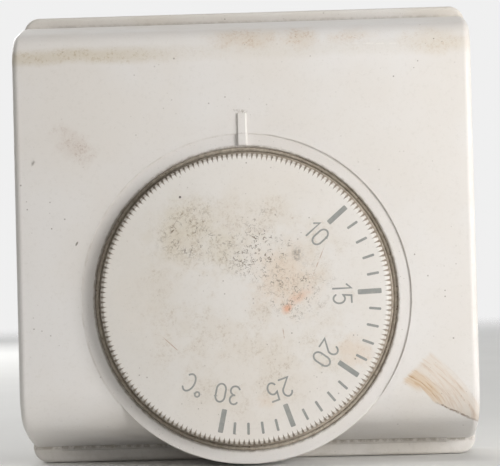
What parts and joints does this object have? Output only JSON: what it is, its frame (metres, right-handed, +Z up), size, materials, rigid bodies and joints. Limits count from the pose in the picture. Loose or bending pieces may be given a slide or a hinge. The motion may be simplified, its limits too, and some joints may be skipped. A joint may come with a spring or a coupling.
{
  "type": "room thermostat",
  "caption": "Square wall-mounted room thermostat with a round serrated setting dial, vapour capsule, lever and snap switch.",
  "frame": {"origin": "centre of the case at the wall face, midway between the two wall fixing slots", "axes": "-Y out of the wall towards the room, +Z up, +X to the right seen from the front"},
  "size_m": [0.084, 0.036, 0.0848],
  "materials": {
    "plate_plastic": "satin, slightly yellowed",
    "cover_plastic": "satin, slightly yellowed",
    "dial_plastic": "satin, yellowed",
    "zinc_steel": "bright zinc plate",
    "spring_steel": "oiled wire",
    "bridge_steel": "dull zinc plate",
    "brass": "turned",
    "bronze": "pressed sheet",
    "phenolic": "moulded, dark brown",
    "nylon": "moulded, natural",
    "silver": "dull",
    "ceramic": "glazed",
    "tinned_copper": "dull wire"
  },
  "bodies": {
    "base": {"wall_plate": "plate_plastic", "front_cover": "cover_plastic", "cover_screw": "zinc_steel", "frame_bridge": "bridge_steel", "bridge_screws": "zinc_steel", "spindle_bush": "brass", "bush_nut": "brass", "lever_pin": "zinc_steel", "return_spring": "spring_steel", "switch_case": "phenolic", "switch_lid": "phenolic", "fixed_contact": "silver", "switch_screws": "zinc_steel", "terminal_block": "phenolic", "terminal_clamp_1": "brass", "terminal_clamp_2": "brass", "terminal_clamp_3": "brass", "terminal_clamp_4": "brass", "terminal_screws": "zinc_steel", "link_common": "brass", "link_heat": "brass", "anticipator": "ceramic", "anticipator_leads": "tinned_copper"},
    "dial": {"dial": "dial_plastic", "range_pins": "zinc_steel", "hub_clip": "spring_steel"},
    "spindle": {"setting_spindle": "brass"},
    "capsule": {"capsule_front": "bronze", "capsule_stud": "brass", "capsule_back": "bronze"},
    "button": {"capsule_button": "brass"},
    "lever": {"operating_lever": "bridge_steel", "calibration_screw": "zinc_steel"},
    "plunger": {"switch_plunger": "nylon"},
    "blade": {"switch_blade": "bronze", "moving_contact": "silver"}
  },
  "joints": [
    {"name": "dial_turn", "type": "hinge", "parent": "base", "child": "dial", "pos_m": [0, -0.03, -0.012], "axis": [0, -1, 0], "range_deg": [0, 196]},
    {"name": "spindle_advance", "type": "slide", "parent": "dial", "child": "spindle", "axis": [0, -1, 0], "range_m": [0, 0.00042]},
    {"name": "capsule_follow", "type": "slide", "parent": "base", "child": "capsule", "axis": [0, -1, 0], "range_m": [0, 0.00042]},
    {"name": "capsule_breath", "type": "slide", "parent": "capsule", "child": "button", "axis": [0, -1, 0], "range_m": [0, 0.0004], "stiffness_N_per_m": 2000, "deforming": ["capsule_back"]},
    {"name": "lever_rock", "type": "hinge", "parent": "base", "child": "lever", "pos_m": [0, -0.01, -0.03], "axis": [1, 0, 0], "range_deg": [0, 1.35], "deforming": ["return_spring"]},
    {"name": "plunger_press", "type": "slide", "parent": "base", "child": "plunger", "axis": [0, -1, 0], "range_m": [0, 0.0009]},
    {"name": "blade_snap", "type": "hinge", "parent": "base", "child": "blade", "pos_m": [-0.011, -0.00528, 0.009], "axis": [0, 0, -1], "range_deg": [0, 4.7]}
  ],
  "couplings": [
    {"joint": "spindle_advance", "follows": "dial_turn", "m_per_rad": 0.00011937},
    {"joint": "capsule_follow", "follows": "dial_turn", "m_per_rad": 0.00011937},
    {"joint": "lever_rock", "follows": "dial_turn", "ratio": 0.0066314},
    {"joint": "plunger_press", "follows": "dial_turn", "m_per_rad": 0.00025863},
    {"joint": "blade_snap", "follows": "dial_turn", "ratio": 0.023459}
  ]
}
